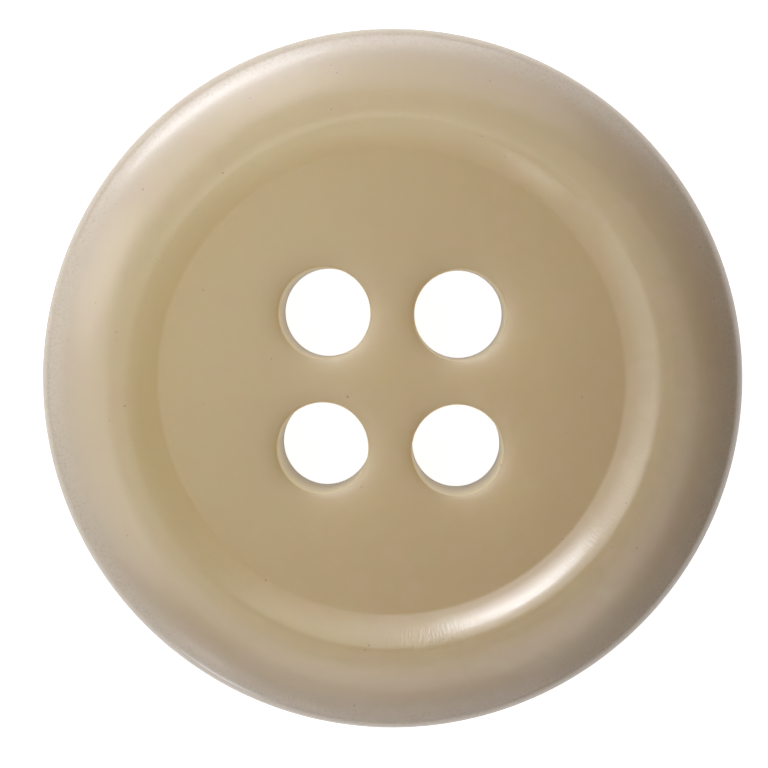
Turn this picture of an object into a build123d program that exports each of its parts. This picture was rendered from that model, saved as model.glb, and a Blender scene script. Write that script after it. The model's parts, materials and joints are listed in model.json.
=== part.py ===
from build123d import *
from math import asin, atan2, cos, degrees, radians, sin
import os

# A four-hole sew-through button for a jacket, turned from one blank of cast resin.
# It lies on its back: the origin is the middle of the back face, +Z is the front.

# Disc, in millimetres
DIAMETER = 20.0             # across the widest line of the edge, a 32 ligne button
THICKNESS = 3.4             # back face to the crown of the rim
CROWN_INSET = 2.0           # widest line in to the circle where the rim is highest
SHOULDER_RADIUS = 3.6       # rounding from the crown out towards the edge
EDGE_RADIUS = 0.6           # rounding of the edge itself, front to back
BACK_INSET = 4.0            # widest line in to the flat that rests on the cloth

# Sunken well, in millimetres and degrees
WELL_DEPTH = 0.63           # crown of the rim down to the floor
WALL_SLOPE = 33.5           # of the straight part of the wall, from level
CROWN_INNER_RADIUS = 1.3    # rounding from the crown down into the wall
WELL_CORNER_RADIUS = 0.2    # hollow corner between the wall and the floor

# Thread holes, in millimetres
HOLE_DIAMETER = 2.6
HOLE_PITCH = 3.85           # between neighbouring holes, on a square
FRONT_ROLL_WIDTH = 0.6      # rolled edge of a hole, on the floor around it
FRONT_ROLL_DEPTH = 0.17     # the same, down the wall of the hole
BACK_BEVEL = 0.2            # bevel of a hole's edge at the back, as wide as deep

CUTTER_MARGIN = 1.0         # how far the hole cutter stands out of both faces


def arc(centre, radius, start, end):
    """Arc about a centre in the profile plane, from one angle to another, in radians."""
    return CenterArc(centre, radius, degrees(start), degrees(end - start))


def revolved(outline):
    """Solid of a closed outline, drawn as (distance from the axis, height)."""
    return revolve(Plane.XZ * make_face(outline), Axis.Z)


def disc():
    """The turned disc: back, edge, rim, well wall and floor, every arc tangent to the next."""
    outer = DIAMETER / 2
    crown = outer - CROWN_INSET
    floor_height = THICKNESS - WELL_DEPTH
    up = radians(90)
    down = radians(-90)

    # Front: shoulder arc, then edge arc, which ends upright at the widest line.
    lean = asin((CROWN_INSET - EDGE_RADIUS) / (SHOULDER_RADIUS - EDGE_RADIUS))
    shoulder_centre = (crown, THICKNESS - SHOULDER_RADIUS)
    edge_height = THICKNESS - SHOULDER_RADIUS + (SHOULDER_RADIUS - EDGE_RADIUS) * cos(lean)
    edge_centre = (outer - EDGE_RADIUS, edge_height)

    # Back: one large arc from the flat, tangent to the same edge arc.
    run = BACK_INSET - EDGE_RADIUS
    back_radius = (run**2 + edge_height**2 - EDGE_RADIUS**2) / (2 * (edge_height - EDGE_RADIUS))
    back_centre = (outer - BACK_INSET, back_radius)
    back_angle = atan2(edge_height - back_radius, run)

    # Well: a straight wall that touches the crown's inner arc and the hollow corner.
    wall = radians(WALL_SLOPE)
    radii = CROWN_INNER_RADIUS + WELL_CORNER_RADIUS
    wall_length = (WELL_DEPTH - radii * (1 - cos(wall))) / sin(wall)
    floor = crown - radii * sin(wall) - wall_length * cos(wall)
    crown_centre = (crown, THICKNESS - CROWN_INNER_RADIUS)
    corner_centre = (floor, floor_height + WELL_CORNER_RADIUS)

    back_arc = arc(back_centre, back_radius, down, back_angle)
    edge_arc = arc(edge_centre, EDGE_RADIUS, back_angle, up - lean)
    shoulder_arc = arc(shoulder_centre, SHOULDER_RADIUS, up - lean, up)
    crown_arc = arc(crown_centre, CROWN_INNER_RADIUS, up, up + wall)
    corner_arc = arc(corner_centre, WELL_CORNER_RADIUS, down + wall, down)
    outline = [
        Line((0, 0), back_arc @ 0),
        back_arc,
        edge_arc,
        shoulder_arc,
        crown_arc,
        Line(crown_arc @ 1, corner_arc @ 0),
        corner_arc,
        Line(corner_arc @ 1, (0, floor_height)),
        Line((0, floor_height), (0, 0)),
    ]
    return revolved(outline)


def hole_cutter():
    """Cutter for one thread hole, on the Z axis. At the front its edge rolls over in a
    quarter of an ellipse, which lies level in the floor and upright in the bore."""
    bore = HOLE_DIAMETER / 2
    floor_height = THICKNESS - WELL_DEPTH
    front_edge = bore + FRONT_ROLL_WIDTH
    back_edge = bore + BACK_BEVEL
    top = floor_height + CUTTER_MARGIN
    bottom = -CUTTER_MARGIN
    front_roll = EllipticalCenterArc(
        (front_edge, floor_height - FRONT_ROLL_DEPTH),
        FRONT_ROLL_WIDTH, FRONT_ROLL_DEPTH, 90, arc_size=90)
    outline = [
        Line((0, top), (front_edge, top)),
        Line((front_edge, top), front_roll @ 0),
        front_roll,
        Line(front_roll @ 1, (bore, BACK_BEVEL)),
        Line((bore, BACK_BEVEL), (back_edge, 0)),
        Line((back_edge, 0), (back_edge, bottom)),
        Line((back_edge, bottom), (0, bottom)),
        Line((0, bottom), (0, top)),
    ]
    return revolved(outline)


def button():
    """The whole button: one disc with four equal holes on a square."""
    holes = GridLocations(HOLE_PITCH, HOLE_PITCH, 2, 2) * hole_cutter()
    return disc() - holes


os.makedirs("parts", exist_ok=True)
export_step(button(), "parts/button.step")
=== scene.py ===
import json
from math import asin, atan2, cos, pi, radians, sin

import bpy
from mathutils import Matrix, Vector


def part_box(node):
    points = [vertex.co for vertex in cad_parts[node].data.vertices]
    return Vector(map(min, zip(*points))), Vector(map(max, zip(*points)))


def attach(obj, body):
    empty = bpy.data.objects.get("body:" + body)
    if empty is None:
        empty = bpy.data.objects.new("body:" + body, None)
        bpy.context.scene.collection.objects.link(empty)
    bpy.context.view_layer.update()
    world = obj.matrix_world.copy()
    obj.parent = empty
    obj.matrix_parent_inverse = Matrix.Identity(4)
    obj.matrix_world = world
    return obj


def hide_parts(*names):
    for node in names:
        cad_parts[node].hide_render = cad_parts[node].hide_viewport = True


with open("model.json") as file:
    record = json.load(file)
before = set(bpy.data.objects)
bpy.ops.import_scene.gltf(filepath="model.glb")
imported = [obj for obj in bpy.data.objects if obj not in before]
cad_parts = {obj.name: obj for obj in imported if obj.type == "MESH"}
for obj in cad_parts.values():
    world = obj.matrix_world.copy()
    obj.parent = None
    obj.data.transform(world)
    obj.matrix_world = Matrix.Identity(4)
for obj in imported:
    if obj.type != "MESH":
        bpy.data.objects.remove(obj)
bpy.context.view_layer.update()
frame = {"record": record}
mm = 0.001

# The button: a round of cast polyester resin, turned on a lathe, drilled four times and
# tumbled in a barrel until every edge is soft. A broad rim stands round a sunken middle,
# and each hole rolls over at both faces, where the thread bends.

low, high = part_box("button")
outer_radius = (high.x - low.x) / 2
thickness = high.z - low.z
crown_inset = 2.0 * mm          # from the widest line to the crown of the rim
shoulder_radius = 3.6 * mm      # rounding from the crown outwards
edge_radius = 0.6 * mm          # rounding of the edge, front to back
back_inset = 4.0 * mm           # from the widest line to the flat of the back
well_depth = 0.63 * mm          # crown of the rim down to the floor
crown_inner_radius = 1.3 * mm   # rounding from the crown into the well
well_corner_radius = 0.2 * mm   # hollow corner between the wall and the floor
wall_slope = radians(33.5)      # straight part of the well's wall
front_roll_width = 0.6 * mm     # rolled edge of a hole, on the floor around it
front_roll_depth = 0.17 * mm    # the same, down the bore
back_roll_width = 0.3 * mm      # softened edge of a hole at the back
back_roll_depth = 0.15 * mm
rim_steps = 256                 # mesh steps round the button
hole_steps = 128                # mesh steps round a hole
weld_gap = 0.002 * mm           # points nearer than this become one

bores = [mount for mount in frame["record"]["mounts"] if mount["kind"] == "bore"]
bore_radius = bores[0]["dims"]["r_mm"] * mm
hole_pitch = 2 * abs(bores[0]["pos_m"][0])
crown_radius = outer_radius - crown_inset
back_flat_radius = outer_radius - back_inset
floor_height = thickness - well_depth


def rim_section():
    """The rim's section from the back flat round to the floor, as tangent arcs of
    (name, points, centre, radius, start angle, sweep), and the floor's radius."""
    up = radians(90)
    down = radians(-90)
    lean = asin((crown_inset - edge_radius) / (shoulder_radius - edge_radius))
    edge_height = thickness - shoulder_radius + (shoulder_radius - edge_radius) * cos(lean)
    run = back_inset - edge_radius
    back_radius = (run**2 + edge_height**2 - edge_radius**2) / (2 * (edge_height - edge_radius))
    turn = atan2(edge_height - back_radius, run)
    radii = crown_inner_radius + well_corner_radius
    wall_length = (well_depth - radii * (1 - cos(wall_slope))) / sin(wall_slope)
    floor_radius = crown_radius - radii * sin(wall_slope) - wall_length * cos(wall_slope)
    return floor_radius, [
        ("Back", 24, (back_flat_radius, back_radius), back_radius, down, turn - down),
        ("Edge", 28, (outer_radius - edge_radius, edge_height), edge_radius,
         turn, up - lean - turn),
        ("Shoulder", 16, (crown_radius, thickness - shoulder_radius), shoulder_radius,
         up - lean, lean),
        ("Crown", 14, (crown_radius, thickness - crown_inner_radius), crown_inner_radius,
         up, wall_slope),
        ("Corner", 10, (floor_radius, floor_height + well_corner_radius),
         well_corner_radius, down + wall_slope, -wall_slope),
    ]


def put(tree, kind, settings=None, inputs=None):
    """Adds a node, sets its properties, and fills its inputs with values or sockets."""
    node = tree.nodes.new(kind)
    for name, value in (settings or {}).items():
        setattr(node, name, value)
    for name, value in (inputs or {}).items():
        for source in value if isinstance(value, list) else [value]:
            if isinstance(source, bpy.types.NodeSocket):
                tree.links.new(source, node.inputs[name])
            else:
                node.inputs[name].default_value = source
    return node


def button_tree(material):
    """The tree that makes the button, and the values of its inputs by identifier."""
    tree = bpy.data.node_groups.new("turned_button", "GeometryNodeTree")
    tree.interface.new_socket("Geometry", in_out="OUTPUT", socket_type="NodeSocketGeometry")
    given = tree.nodes.new("NodeGroupInput")
    values = {}

    def size(name, value):
        """Names one size as an input of the tree and gives its socket."""
        kind = "NodeSocketVector" if isinstance(value, tuple) else "NodeSocketFloat"
        item = tree.interface.new_socket(name, in_out="INPUT", socket_type=kind)
        values[item.identifier] = value
        return given.outputs[name]

    def swept(name, strips, radius, around):
        """A section, drawn as (offset from the circle, height), swept round a circle."""
        section = put(tree, "GeometryNodeJoinGeometry", inputs={"Geometry": strips})
        upright = put(tree, "GeometryNodeTransform", inputs={
            "Geometry": section.outputs[0], "Scale": (1, -1, 1)})
        circle = put(tree, "GeometryNodeCurvePrimitiveCircle", inputs={
            "Resolution": around, "Radius": size(name, radius)})
        sweep = put(tree, "GeometryNodeCurveToMesh", inputs={
            "Curve": circle.outputs["Curve"], "Profile Curve": upright.outputs[0]})
        return put(tree, "GeometryNodeFlipFaces", inputs={"Mesh": sweep.outputs[0]}).outputs[0]

    def arc(name, points, centre, radius, start, sweep, scale=(1, 1, 1)):
        """One arc of a section, squeezed to an ellipse if it has a scale."""
        bow = put(tree, "GeometryNodeCurveArc", {"mode": "RADIUS"}, {
            "Resolution": points,
            "Radius": size(name + " Radius", radius),
            "Start Angle": size(name + " Start", start),
            "Sweep Angle": size(name + " Sweep", sweep)})
        return put(tree, "GeometryNodeTransform", inputs={
            "Geometry": bow.outputs["Curve"],
            "Translation": size(name + " Centre", (*centre, 0)),
            "Scale": size(name + " Scale", scale)}).outputs[0]

    def band(name, circle, half_side, around, rows, height, flip):
        """A level band of quads between a circle and a square about the same centre, with
        its faces turned over on request."""
        grid = put(tree, "GeometryNodeMeshGrid", inputs={
            "Vertices X": around + 1, "Vertices Y": rows + 1})
        across = put(tree, "ShaderNodeSeparateXYZ", inputs={"Vector": grid.outputs["UV Map"]})
        angle = put(tree, "ShaderNodeMath", {"operation": "MULTIPLY"}, {
            0: across.outputs["X"], 1: 2 * pi})
        side = put(tree, "ShaderNodeMath", {"operation": "WRAP"}, {
            0: angle.outputs[0], 1: pi / 4, 2: -pi / 4})
        turn = put(tree, "ShaderNodeMath", {"operation": "SUBTRACT"}, {
            0: angle.outputs[0], 1: side.outputs[0]})
        along = put(tree, "ShaderNodeMath", {"operation": "DIVIDE"}, {
            0: side.outputs[0], 1: pi / 4})
        flank = put(tree, "ShaderNodeCombineXYZ", inputs={"X": 1.0, "Y": along.outputs[0]})
        square = put(tree, "ShaderNodeVectorRotate", {"rotation_type": "Z_AXIS"}, {
            "Vector": flank.outputs[0], "Angle": turn.outputs[0]})
        round_ = put(tree, "ShaderNodeVectorRotate", {"rotation_type": "Z_AXIS"}, {
            "Vector": (1, 0, 0), "Angle": angle.outputs[0]})
        inner = put(tree, "ShaderNodeVectorMath", {"operation": "SCALE"}, {
            "Vector": round_.outputs[0], "Scale": size(name + " Circle", circle)})
        outer = put(tree, "ShaderNodeVectorMath", {"operation": "SCALE"}, {
            "Vector": square.outputs[0], "Scale": size(name + " Half Side", half_side)})
        between = put(tree, "ShaderNodeMix", {"data_type": "VECTOR"}, {
            "Factor": across.outputs["Y"], 4: inner.outputs[0], 5: outer.outputs[0]})
        placed = put(tree, "GeometryNodeSetPosition", inputs={
            "Geometry": grid.outputs["Mesh"], "Position": between.outputs[1],
            "Offset": size(name + " Height", (0, 0, height))}).outputs[0]
        if flip:
            placed = put(tree, "GeometryNodeFlipFaces", inputs={"Mesh": placed}).outputs[0]
        return placed

    floor_radius, arcs = rim_section()
    strips = [arc(name, points, (centre[0] - crown_radius, centre[1]), *rest)
              for name, points, centre, *rest in arcs]
    _, _, crown, crown_r, crown_start, crown_sweep = arcs[3]
    _, _, corner, corner_r, corner_start, _ = arcs[4]
    wall_top = (crown[0] - crown_radius + crown_r * cos(crown_start + crown_sweep),
                crown[1] + crown_r * sin(crown_start + crown_sweep), 0)
    wall_foot = (corner[0] - crown_radius + corner_r * cos(corner_start),
                 corner[1] + corner_r * sin(corner_start), 0)
    wall = put(tree, "GeometryNodeCurvePrimitiveLine", inputs={
        "Start": size("Wall Top", wall_top), "End": size("Wall Foot", wall_foot)})
    strips.append(put(tree, "GeometryNodeResampleCurve", inputs={
        "Curve": wall.outputs[0], "Count": 5}).outputs[0])
    rim = swept("Crown Circle", strips, crown_radius, rim_steps)

    bore = put(tree, "GeometryNodeCurvePrimitiveLine", inputs={
        "Start": size("Bore Top", (0, floor_height - front_roll_depth, 0)),
        "End": size("Bore Foot", (0, back_roll_depth, 0))})
    lining = swept("Bore Circle", [
        arc("Front Roll", 16, (front_roll_width, floor_height - front_roll_depth),
            1.0, pi / 2, pi / 2, (front_roll_width, front_roll_depth, 1)),
        put(tree, "GeometryNodeResampleCurve", inputs={
            "Curve": bore.outputs[0], "Count": 9}).outputs[0],
        arc("Back Roll", 12, (back_roll_width, back_roll_depth),
            1.0, pi, pi / 2, (back_roll_width, back_roll_depth, 1)),
    ], bore_radius, hole_steps)
    one_hole = put(tree, "GeometryNodeJoinGeometry", inputs={"Geometry": [
        lining,
        band("Front Land", bore_radius + front_roll_width, hole_pitch / 2, hole_steps, 2,
             floor_height, True),
        band("Back Land", bore_radius + back_roll_width, hole_pitch / 2, hole_steps, 3,
             0, False),
    ]})
    corners = put(tree, "GeometryNodeMeshGrid", inputs={
        "Size X": size("Hole Pitch X", hole_pitch), "Size Y": size("Hole Pitch Y", hole_pitch),
        "Vertices X": 2, "Vertices Y": 2})
    holes = put(tree, "GeometryNodeInstanceOnPoints", inputs={
        "Points": corners.outputs["Mesh"], "Instance": one_hole.outputs[0]})
    whole = put(tree, "GeometryNodeJoinGeometry", inputs={"Geometry": [
        rim,
        holes.outputs[0],
        band("Floor", floor_radius, hole_pitch, rim_steps, 8, floor_height, False),
        band("Back Flat", back_flat_radius, hole_pitch, rim_steps, 6, 0, True),
    ]})
    real = put(tree, "GeometryNodeRealizeInstances", inputs={"Geometry": whole.outputs[0]})
    merged = put(tree, "GeometryNodeMergeByDistance", inputs={
        "Geometry": real.outputs[0], "Distance": weld_gap})
    smooth = put(tree, "GeometryNodeSetShadeSmooth", inputs={"Geometry": merged.outputs[0]})
    dressed = put(tree, "GeometryNodeSetMaterial", inputs={
        "Geometry": smooth.outputs[0], "Material": material})
    put(tree, "NodeGroupOutput", inputs={"Geometry": dressed.outputs[0]})
    return tree, values


def linear(colour):
    """The linear value of an sRGB colour written as #rrggbb, with alpha 1."""
    shares = [int(colour[i:i + 2], 16) / 255 for i in (1, 3, 5)]
    return (*[c / 12.92 if c <= 0.04045 else ((c + 0.055) / 1.055)**2.4 for c in shares], 1)


def polished_resin():
    """Cast polyester in a horn colour. Light soaks through the whole disc, which looks cloudy
    and even. The bores are painted paler, a painted glow that keeps the holes from going dark,
    and the disc is painted darker towards the lower right and darker and cooler towards the
    edge, both painted shade. The barrel left a thin sharp gloss over a broad haze on the rim,
    and took the turning marks down to faint rings, short fine strokes on the wall of the well,
    and a few pits."""
    material = bpy.data.materials.new("polished_polyester_resin")
    material.use_nodes = True
    tree = material.node_tree
    shader = tree.nodes["Principled BSDF"]
    place = put(tree, "ShaderNodeTexCoord").outputs["Object"]
    level = put(tree, "ShaderNodeVectorMath", {"operation": "MULTIPLY"}, {
        0: place, 1: (1, 1, 0)}).outputs[0]
    radius = put(tree, "ShaderNodeVectorMath", {"operation": "LENGTH"}, {
        0: level}).outputs["Value"]
    outward = put(tree, "ShaderNodeVectorMath", {"operation": "NORMALIZE"}, {
        0: level}).outputs[0]

    # Where each finish begins and ends, as distances from the middle.
    gloss_starts, satin_ends, gloss_full = 6.8 * mm, 6.85 * mm, 7.15 * mm
    # where the painted shade and cool tint on the rim begin and are full
    rim_shade_starts, rim_shade_full = 7.2 * mm, 9.2 * mm
    strokes_fade, strokes_gone = 7.5 * mm, 7.9 * mm
    dust_starts, dust_full = 8.0 * mm, 9.6 * mm
    glaze_wears, glaze_gone = 8.6 * mm, 9.85 * mm
    past_holes = 5 * mm

    # Colour: a slow slant from olive to brown, darker towards the lower right away from the
    # window at the upper left, which is painted shade; clouds a few millimetres wide; a finer
    # mottle of rose and olive; a darker, cooler tone towards the edge, which is painted shade
    # with a cool tint standing in for the rim's pale sheen; fine dust towards the edge; paler
    # bores, a painted glow that keeps the holes from going dark; and pores under 0.1 mm wide
    # that hold polishing dirt.
    cloud = put(tree, "ShaderNodeTexNoise", inputs={
        "Vector": place, "Scale": 1 / (3.5 * mm), "Detail": 3}).outputs["Fac"]
    mottle = put(tree, "ShaderNodeTexNoise", inputs={
        "Vector": place, "Scale": 1 / (0.9 * mm), "Detail": 2}).outputs["Fac"]
    pore = put(tree, "ShaderNodeTexVoronoi", inputs={
        "Vector": place, "Scale": 1 / (0.42 * mm)}).outputs["Distance"]
    grain = put(tree, "ShaderNodeTexNoise", inputs={
        "Vector": place, "Scale": 1 / (0.07 * mm), "Detail": 2}).outputs["Fac"]
    pore_width = put(tree, "ShaderNodeMapRange", inputs={
        "Value": mottle, "From Min": 0.42, "From Max": 0.7, "To Max": 0.11}).outputs[0]
    open_pore = put(tree, "ShaderNodeMath", {"operation": "SUBTRACT"}, {
        0: pore_width, 1: pore}).outputs[0]
    pit = put(tree, "ShaderNodeMapRange", inputs={
        "Value": open_pore, "From Min": 0.0, "From Max": 0.04}).outputs[0]
    rim = put(tree, "ShaderNodeMapRange", inputs={
        "Value": radius, "From Min": dust_starts, "From Max": dust_full}).outputs[0]
    dust = put(tree, "ShaderNodeMath", {"operation": "MULTIPLY"}, {0: rim, 1: grain}).outputs[0]
    # painted shade: the colour darkens towards the lower right, away from the window light at
    # the upper left
    shade_slant = put(tree, "ShaderNodeVectorMath", {"operation": "DOT_PRODUCT"}, {
        0: place, 1: (0.87, -0.5, 0)}).outputs["Value"]
    # painted glow: a mask over the bores, which are painted paler so the holes never go dark
    rise = put(tree, "ShaderNodeSeparateXYZ", inputs={"Vector": place}).outputs["Z"]
    inside = put(tree, "ShaderNodeMath", {"operation": "COMPARE"}, {
        0: rise, 1: floor_height / 2, 2: floor_height / 2 - 0.12 * mm}).outputs[0]
    near = put(tree, "ShaderNodeMath", {"operation": "LESS_THAN"}, {
        0: radius, 1: past_holes}).outputs[0]
    bore_glow = put(tree, "ShaderNodeMath", {"operation": "MULTIPLY"}, {
        0: inside, 1: near}).outputs[0]
    body = linear("#d3b681")
    for mask, nought, full, most, how, colour in [
        # painted shade, darker towards the lower right
        (shade_slant, -6 * mm, 7 * mm, 1.0, "MULTIPLY", "#ebe4dd"),
        (cloud, 0.3, 0.7, 0.5, "MULTIPLY", "#f8f7f4"),
        (mottle, 0.5, 0.8, 0.4, "MIX", "#d1ab84"),
        (mottle, 0.5, 0.2, 0.4, "MIX", "#c8b27e"),
        # painted shade, darker and cooler towards the edge; the cool tint stands in for the
        # rim's pale sheen
        (radius, rim_shade_starts, rim_shade_full, 1.0, "MULTIPLY", "#d6d6ea"),
        (dust, 0.45, 0.8, 1.0, "MULTIPLY", "#e6e1da"),
        # painted glow, paler bores that stand in for light coming through the resin
        (bore_glow, 0.0, 1.0, 1.0, "MIX", "#f0cd92"),
        (pit, 0.0, 1.0, 0.55, "MIX", "#6a5640"),
    ]:
        amount = put(tree, "ShaderNodeMapRange", inputs={
            "Value": mask, "From Min": nought, "From Max": full, "To Max": most}).outputs[0]
        body = put(tree, "ShaderNodeMix", {"data_type": "RGBA", "blend_type": how}, {
            0: amount, 6: body, 7: linear(colour)}).outputs[2]
    tree.links.new(body, shader.inputs["Base Color"])

    # Relief in metres: rings 0.15 mm apart, strokes across them, a fine grain and the pores.
    # The strokes are drawn coarser than a barrel leaves them, or they wouldn't show.
    ring = put(tree, "ShaderNodeTexNoise", {"noise_dimensions": "1D"}, {
        "W": radius, "Scale": 1 / (0.15 * mm), "Detail": 2}).outputs["Fac"]
    spokes = put(tree, "ShaderNodeVectorMath", {"operation": "SCALE"}, {
        0: outward, "Scale": 7 * mm}).outputs[0]
    drawn_out = put(tree, "ShaderNodeVectorMath", {"operation": "MULTIPLY_ADD"}, {
        0: place, 1: (0.3, 0.3, 0.3), 2: spokes}).outputs[0]
    stroke = put(tree, "ShaderNodeTexNoise", inputs={
        "Vector": drawn_out, "Scale": 1 / (0.08 * mm), "Detail": 2}).outputs["Fac"]
    proud = put(tree, "ShaderNodeMapRange", inputs={
        "Value": radius, "From Min": gloss_starts, "From Max": gloss_full}).outputs[0]
    smoother = put(tree, "ShaderNodeMapRange", inputs={
        "Value": radius, "From Min": strokes_fade, "From Max": strokes_gone,
        "To Min": 1.0, "To Max": 0.1}).outputs[0]
    reach = put(tree, "ShaderNodeMath", {"operation": "MULTIPLY"}, {
        0: proud, 1: smoother}).outputs[0]
    brushed = put(tree, "ShaderNodeMath", {"operation": "MULTIPLY"}, {
        0: reach, 1: stroke}).outputs[0]
    relief = 0.0
    for mask, height in [(ring, 0.0006 * mm), (brushed, 0.005 * mm),
                         (grain, 0.0009 * mm), (pit, -0.004 * mm)]:
        relief = put(tree, "ShaderNodeMath", {"operation": "MULTIPLY_ADD"}, {
            0: mask, 1: height, 2: relief}).outputs[0]
    bump = put(tree, "ShaderNodeBump", inputs={"Height": relief, "Distance": 1.0})
    tree.links.new(bump.outputs[0], shader.inputs["Normal"])
    tree.links.new(bump.outputs[0], shader.inputs["Coat Normal"])

    # Gloss: satin in the well, which the barrel hardly reaches, and smoother on the rim. It
    # changes on the slope of the wall, which sets where the bright crescent begins.
    satin = put(tree, "ShaderNodeMapRange", inputs={
        "Value": radius, "From Min": satin_ends, "From Max": gloss_full,
        "To Min": 0.5, "To Max": 0.32}).outputs[0]
    tree.links.new(satin, shader.inputs["Roughness"])
    worn = put(tree, "ShaderNodeMapRange", inputs={
        "Value": radius, "From Min": glaze_gone, "From Max": glaze_wears}).outputs[0]
    glaze = put(tree, "ShaderNodeMath", {"operation": "MULTIPLY"}, {
        0: proud, 1: worn}).outputs[0]
    tree.links.new(glaze, shader.inputs["Coat Weight"])
    for name, value in [("IOR", 1.65), ("Specular IOR Level", 1.0),
                        ("Coat Roughness", 0.14), ("Coat IOR", 1.5),
                        ("Subsurface Weight", 1.0), ("Subsurface Radius", (1.0, 1.0, 1.0)),
                        ("Subsurface Scale", 14 * mm)]:
        shader.inputs[name].default_value = value
    return material


resin = polished_resin()
tree, values = button_tree(resin)
blank = bpy.data.objects.new("blank", bpy.data.meshes.new("blank"))
bpy.context.scene.collection.objects.link(blank)
maker = blank.modifiers.new("turned_button", "NODES")
maker.node_group = tree
for identifier, value in values.items():
    maker[identifier] = value
blank.update_tag()
shape = bpy.data.meshes.new_from_object(
    blank.evaluated_get(bpy.context.evaluated_depsgraph_get()))
blank.modifiers.remove(maker)
bpy.data.objects.remove(blank)
shape.materials.pop(index=0)
button = bpy.data.objects.new("resin_button", shape)
bpy.context.scene.collection.objects.link(button)
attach(button, "root")
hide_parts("button")

# The table: a plain sheet far larger than the view from the front. It shows nine tenths of
# white by itself, and the lamps take it to full white near the button, so the button's shadow
# is lost in that white.

paper_white = 0.9           # share of pure white that the bare sheet shows
half_table = 300 * mm
paper = bpy.data.materials.new("white_paper")
paper.use_nodes = True
paper_shader = paper.node_tree.nodes["Principled BSDF"]
paper_shader.inputs["Base Color"].default_value = linear("#cccccc")
paper_shader.inputs["Roughness"].default_value = 0.9
ray = put(paper.node_tree, "ShaderNodeLightPath").outputs
seen = put(paper.node_tree, "ShaderNodeMath", {"operation": "ADD"}, {
    0: ray["Is Camera Ray"], 1: ray["Is Glossy Ray"]}).outputs[0]
seen = put(paper.node_tree, "ShaderNodeMath", {"operation": "ADD", "use_clamp": True}, {
    0: seen, 1: ray["Is Transmission Ray"]}).outputs[0]
paper_shader.inputs["Emission Color"].default_value = (1, 1, 1, 1)
paper.node_tree.links.new(
    put(paper.node_tree, "ShaderNodeMath", {"operation": "MULTIPLY"}, {
        0: seen, 1: paper_white}).outputs[0],
    paper_shader.inputs["Emission Strength"])
sheet = bpy.data.meshes.new("table")
sheet.from_pydata([(-half_table, -half_table, 0), (half_table, -half_table, 0),
                   (half_table, half_table, 0), (-half_table, half_table, 0)],
                  [], [(0, 1, 2, 3)])
sheet.materials.append(paper)
table = bpy.data.objects.new("table", sheet)
bpy.context.scene.collection.objects.link(table)

# The light: a wide low window at the upper left gives the streak on the rim and the crescent
# across the well, and two small lamps at the lower left the fine line on the edge and the
# glint on the wall. A panel overhead and two rings of panels stand for the pale room.

room_light = 0.03           # what the room beyond the panels adds
world = bpy.data.worlds.new("studio")
bpy.context.scene.world = world
world.use_nodes = True
world.node_tree.nodes["Background"].inputs["Color"].default_value = (1, 1, 1, 1)
air = put(world.node_tree, "ShaderNodeLightPath").outputs["Is Camera Ray"]
world.node_tree.links.new(
    put(world.node_tree, "ShaderNodeMapRange", inputs={
        "Value": air, "To Min": room_light, "To Max": 1.0}).outputs[0],
    world.node_tree.nodes["Background"].inputs["Strength"])


def panel(name, azimuth, elevation, distance, width, height, brightness, colour="#ffffff"):
    """A soft oval panel that faces the button. Azimuth counts from +X towards +Y and
    elevation up from the table, in degrees. A brightness of 1 is white."""
    lamp = bpy.data.lights.new(name, "AREA")
    lamp.shape = "ELLIPSE"
    lamp.size = width
    lamp.size_y = height
    lamp.energy = pi * pi / 4 * width * height * brightness
    lamp.color = linear(colour)[:3]
    holder = bpy.data.objects.new(name, lamp)
    a, e = radians(azimuth), radians(elevation)
    away = Vector((cos(a) * cos(e), sin(a) * cos(e), sin(e)))
    holder.location = away * distance
    holder.rotation_euler = away.to_track_quat("Z", "Y").to_euler()
    bpy.context.scene.collection.objects.link(holder)


panel("key", 125, 33.5, 400 * mm, 270 * mm, 50 * mm, 9.4, "#f0f3ff")
panel("edge", 241, 4, 200 * mm, 46 * mm, 12 * mm, 19, "#e8eeff")
panel("spot", 237, 30, 200 * mm, 30 * mm, 20 * mm, 2.8)
panel("overhead", 295, 76, 80 * mm, 84 * mm, 84 * mm, 0.43)
for azimuth, brightness in [(60, 1.0), (95, 1.9), (130, 1.3), (168, 1.1), (204, 0.55),
                            (240, 0.55), (275, 0.6), (310, 0.25)]:
    panel(f"low_{azimuth}", azimuth, elevation=20, distance=60 * mm, width=45 * mm,
          height=27 * mm, brightness=brightness, colour="#f4f6ff")
for azimuth, brightness in [(45, 0.1), (90, 0.7), (140, 1.0), (188, 0.8), (235, 0.2),
                            (280, 0.4), (325, 0.2)]:
    panel(f"high_{azimuth}", azimuth, elevation=48, distance=50 * mm, width=46 * mm,
          height=40 * mm, brightness=brightness)

# The camera: about two and a half button widths above the front, and a little towards the
# top of the picture, so that a sliver of each hole's wall shows.

lens = bpy.data.cameras.new("camera")
lens.sensor_width = 36
lens.lens = 81.27
lens.clip_start = 1 * mm
eye = bpy.data.objects.new("camera", lens)
eye.location = Vector((0.74, 2.47, 52)) * mm
eye.rotation_euler = (radians(-2.924), radians(1.139), radians(0.884))
bpy.context.scene.collection.objects.link(eye)
bpy.context.scene.camera = eye

bpy.context.scene.view_settings.view_transform = "Standard"
